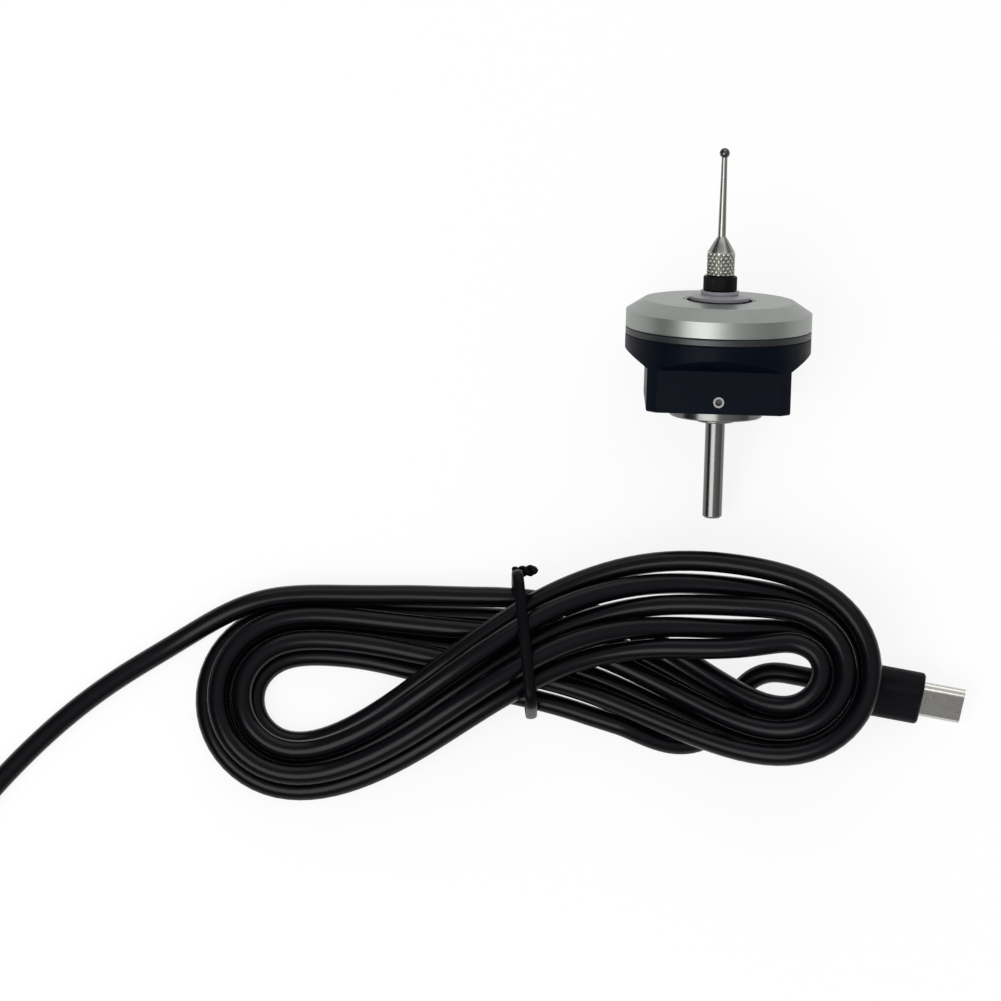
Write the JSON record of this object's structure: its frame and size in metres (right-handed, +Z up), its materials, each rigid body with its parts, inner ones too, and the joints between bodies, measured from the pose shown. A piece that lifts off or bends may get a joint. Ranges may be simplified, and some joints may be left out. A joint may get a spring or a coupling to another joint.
{
  "type": "3d edge finder",
  "caption": "Battery-free touch probe with a ball-ended sprung stylus, a round housing with milled flats, a plain collet shank and a loose signal lead with a tied hank.",
  "frame": {"origin": "on the table under the middle of the box of the probe without its lead", "axes": "+Z up from the table, +Y towards the stylus's ball, +X to the right of a viewer at the shank's end"},
  "size_m": [0.2125, 0.1908, 0.0383],
  "materials": {
    "shank": "ground steel",
    "shank_screw": "blackened steel",
    "shank_washer": "plain steel",
    "centring_screws": "bright steel",
    "housing": "dark anodised, fine matt",
    "lower_gasket": "matt",
    "middle_ring": "dark grey anodised",
    "upper_gasket": "matt",
    "top_cover": "turned",
    "retaining_ring": "turned",
    "cover_screws": "bright steel",
    "circuit_board": "solder mask",
    "board_chips": "moulded",
    "board_screws": "bright steel",
    "status_leds": "clear red",
    "usb_socket_shell": "plated",
    "usb_socket_tongue": "moulded",
    "hookup_wires": "insulated",
    "ball_seat_ring": "machined insulator",
    "seat_balls": "polished",
    "return_spring": "drawn wire",
    "spring_cap": "machined",
    "pressure_ball": "polished",
    "tripod_hub": "machined and plated",
    "contact_pins": "ground",
    "dust_skirt": "smooth grey silicone",
    "lock_collar": "black oxide",
    "stylus_stem": "turned, knurled grip",
    "stylus_ball": "polished",
    "cord_hank": "soft black jacket",
    "cord_lead_in": "soft black jacket",
    "cord_tail": "soft black jacket",
    "plug_overmould": "moulded",
    "plug_strain_relief": "moulded",
    "plug_shell": "plated steel",
    "plug_insert": "moulded",
    "cable_tie": "coated wire",
    "tail_sleeve": "shrunk sleeve",
    "tail_wires": "insulated",
    "tail_connector": "moulded nylon"
  },
  "bodies": {
    "housing": {"shank": "shank", "shank_screw": "shank_screw", "shank_washer": "shank_washer", "centring_screws": "centring_screws", "housing": "housing", "lower_gasket": "lower_gasket", "middle_ring": "middle_ring", "upper_gasket": "upper_gasket", "top_cover": "top_cover", "retaining_ring": "retaining_ring", "cover_screws": "cover_screws", "circuit_board": "circuit_board", "board_chips": "board_chips", "board_screws": "board_screws", "status_leds": "status_leds", "usb_socket_shell": "usb_socket_shell", "usb_socket_tongue": "usb_socket_tongue", "hookup_wires": "hookup_wires", "ball_seat_ring": "ball_seat_ring", "seat_balls": "seat_balls", "return_spring": "return_spring"},
    "spring_cap": {"spring_cap": "spring_cap"},
    "pressure_ball": {"pressure_ball": "pressure_ball"},
    "stylus": {"tripod_hub": "tripod_hub", "contact_pins": "contact_pins", "dust_skirt": "dust_skirt", "lock_collar": "lock_collar", "stylus_stem": "stylus_stem", "stylus_ball": "stylus_ball"},
    "lead": {"cord_hank": "cord_hank", "cord_lead_in": "cord_lead_in", "cord_tail": "cord_tail", "plug_overmould": "plug_overmould", "plug_strain_relief": "plug_strain_relief", "plug_shell": "plug_shell", "plug_insert": "plug_insert", "cable_tie": "cable_tie", "tail_sleeve": "tail_sleeve", "tail_wires": "tail_wires", "tail_connector": "tail_connector"}
  },
  "joints": [
    {"name": "stylus_plunge", "type": "slide", "parent": "housing", "child": "spring_cap", "axis": [0, -0.9329, -0.3601], "range_m": [0, 0.0025], "stiffness_N_per_m": 300, "springref_m": -0.0005, "deforming": ["return_spring"]},
    {"name": "stylus_tilt_x", "type": "hinge", "parent": "spring_cap", "child": "pressure_ball", "pos_m": [0, -0.00257, 0.01776], "axis": [1, 0, 0], "range_deg": [-3, 3], "stiffness_Nm_per_rad": 0.2},
    {"name": "stylus_tilt_y", "type": "hinge", "parent": "pressure_ball", "child": "stylus", "pos_m": [0, -0.00257, 0.01776], "axis": [0, 0.3601, -0.9329], "range_deg": [-3, 3], "stiffness_Nm_per_rad": 0.2},
    {"name": "lead_slide", "type": "slide", "parent": "housing", "child": "lead", "axis": [0, -1, 0], "range_m": [0, 0.1]}
  ]
}
